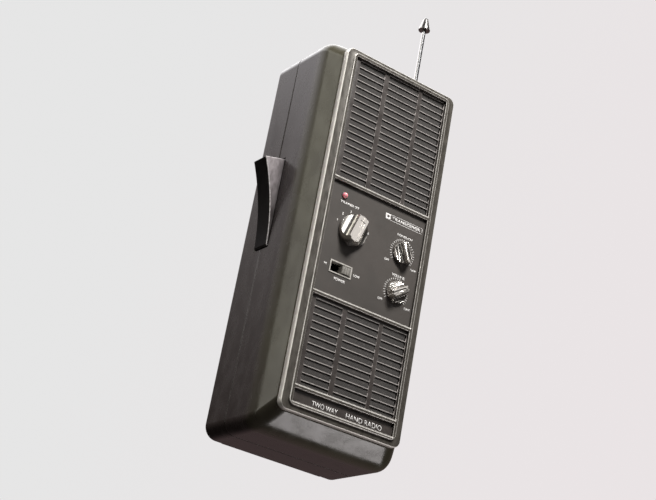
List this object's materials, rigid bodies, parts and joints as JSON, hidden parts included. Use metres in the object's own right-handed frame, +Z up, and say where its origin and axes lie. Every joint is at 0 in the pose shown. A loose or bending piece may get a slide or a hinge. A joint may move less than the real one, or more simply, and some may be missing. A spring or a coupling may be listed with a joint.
{
  "type": "handheld two-way radio",
  "caption": "Tall handheld two-way radio with louvred speaker and microphone grilles, rotary knobs, slide switch, push-to-talk lever and telescopic antenna.",
  "frame": {"origin": "centre of the flat base of the case, halfway through the depth of the case", "axes": "+X to the right and +Z up as the user sees the front, which faces -Y"},
  "size_m": [0.0957, 0.0658, 0.2696],
  "materials": {
    "case_plastic": "worn satin dark olive-black paint",
    "bezel_plastic": "worn satin grey-brown paint with bright rubbed edges",
    "grille_plastic": "matt dark grey-brown",
    "grille_cloth": "dark woven speaker cloth",
    "panel_paint": "matt grey-brown paint",
    "knob_metal": "satin machined",
    "bright_steel": "plain plated",
    "switch_metal": "plated pressed steel",
    "switch_frame_metal": "satin",
    "slider_plastic": "satin grey",
    "lamp_lens": "translucent red dome",
    "black_plastic": "moulded black",
    "lever_plastic": "satin black, lightly worn",
    "rubber_parts": "black",
    "antenna_chrome": "bright plated",
    "antenna_tip_metal": "dark plated",
    "speaker_paper": "pressed black paper",
    "magnet_iron": "dull dark grey",
    "microphone_metal": "satin",
    "board_laminate": "brown laminate",
    "capacitor_sleeve": "blue sleeve",
    "fin_aluminium": "plain",
    "coil_copper": "enamelled copper wire",
    "cell_sleeve": "plain printed sleeve"
  },
  "bodies": {
    "case": {"front_case": "case_plastic", "rear_case": "case_plastic", "bezel_frame": "bezel_plastic", "upper_grille": "grille_plastic", "lower_grille": "grille_plastic", "speaker_cloth": "grille_cloth", "microphone_cloth": "grille_cloth", "control_panel": "panel_paint", "label_strip": "grille_plastic", "control_nuts": "bright_steel", "channel_switch": "switch_metal", "squelch_control": "switch_metal", "volume_control": "switch_metal", "power_switch_frame": "switch_frame_metal", "power_switch": "switch_metal", "indicator_lamp": "lamp_lens", "lamp_holder": "rubber_parts", "ptt_pin": "bright_steel", "ptt_bracket": "bright_steel", "ptt_switch": "black_plastic", "ptt_spring": "bright_steel", "antenna_bush": "black_plastic", "antenna_tube": "antenna_chrome", "antenna_clamp": "black_plastic", "speaker_frame": "bright_steel", "speaker_cone": "speaker_paper", "speaker_magnet": "magnet_iron", "microphone": "microphone_metal", "microphone_mount": "rubber_parts", "circuit_board": "board_laminate", "board_screws": "bright_steel", "crystal_sockets": "black_plastic", "crystals": "bright_steel", "coil_cans": "bright_steel", "capacitors": "capacitor_sleeve", "audio_transformer": "magnet_iron", "heat_sink": "fin_aluminium", "output_transistor": "black_plastic", "loading_coil": "coil_copper", "battery_holder": "black_plastic", "battery_cells": "cell_sleeve", "battery_contacts": "bright_steel", "case_screws": "bright_steel"},
    "door": {"battery_door": "case_plastic"},
    "channel_selector": {"channel_knob": "knob_metal", "channel_shaft": "bright_steel"},
    "squelch_selector": {"squelch_knob": "knob_metal", "squelch_shaft": "bright_steel"},
    "volume_selector": {"volume_knob": "knob_metal", "volume_shaft": "bright_steel"},
    "slider": {"power_slider": "slider_plastic"},
    "lever": {"ptt_lever": "lever_plastic"},
    "section_1": {"antenna_section_1": "antenna_chrome"},
    "section_2": {"antenna_section_2": "antenna_chrome"},
    "section_3": {"antenna_section_3": "antenna_chrome"},
    "section_4": {"antenna_section_4": "antenna_chrome"},
    "section_5": {"antenna_section_5": "antenna_chrome"},
    "antenna_end": {"antenna_rod": "antenna_chrome", "antenna_tip": "antenna_tip_metal"}
  },
  "joints": [
    {"name": "channel_turn", "type": "hinge", "parent": "case", "child": "channel_selector", "pos_m": [-0.0136, -0.031, 0.1098], "axis": [0, 1, 0], "range_deg": [-93, 57]},
    {"name": "squelch_turn", "type": "hinge", "parent": "case", "child": "squelch_selector", "pos_m": [0.0187, -0.031, 0.1096], "axis": [0, 1, 0], "range_deg": [-105, 155]},
    {"name": "volume_turn", "type": "hinge", "parent": "case", "child": "volume_selector", "pos_m": [0.0187, -0.031, 0.088], "axis": [0, 1, 0], "range_deg": [-186, 74]},
    {"name": "power_slide", "type": "slide", "parent": "case", "child": "slider", "axis": [-1, 0, 0], "range_m": [0, 0.006]},
    {"name": "ptt_press", "type": "hinge", "parent": "case", "child": "lever", "pos_m": [-0.0386, 0.007, 0.1015], "axis": [0, 1, 0], "range_deg": [0, 5], "stiffness_Nm_per_rad": 0.6, "springref_deg": -3.44, "deforming": ["ptt_spring"]},
    {"name": "door_slide", "type": "slide", "parent": "case", "child": "door", "axis": [0, 0, -1], "range_m": [0, 0.108]},
    {"name": "antenna_slide_1", "type": "slide", "parent": "case", "child": "section_1", "axis": [0, 0, 1], "range_m": [0, 0.17]},
    {"name": "antenna_slide_2", "type": "slide", "parent": "section_1", "child": "section_2", "axis": [0, 0, 1], "range_m": [0, 0.17]},
    {"name": "antenna_slide_3", "type": "slide", "parent": "section_2", "child": "section_3", "axis": [0, 0, 1], "range_m": [0, 0.17]},
    {"name": "antenna_slide_4", "type": "slide", "parent": "section_3", "child": "section_4", "axis": [0, 0, 1], "range_m": [0, 0.17]},
    {"name": "antenna_slide_5", "type": "slide", "parent": "section_4", "child": "section_5", "axis": [0, 0, 1], "range_m": [0, 0.17]},
    {"name": "antenna_rod_slide", "type": "slide", "parent": "section_5", "child": "antenna_end", "axis": [0, 0, 1], "range_m": [-0.0412, 0.125]}
  ]
}
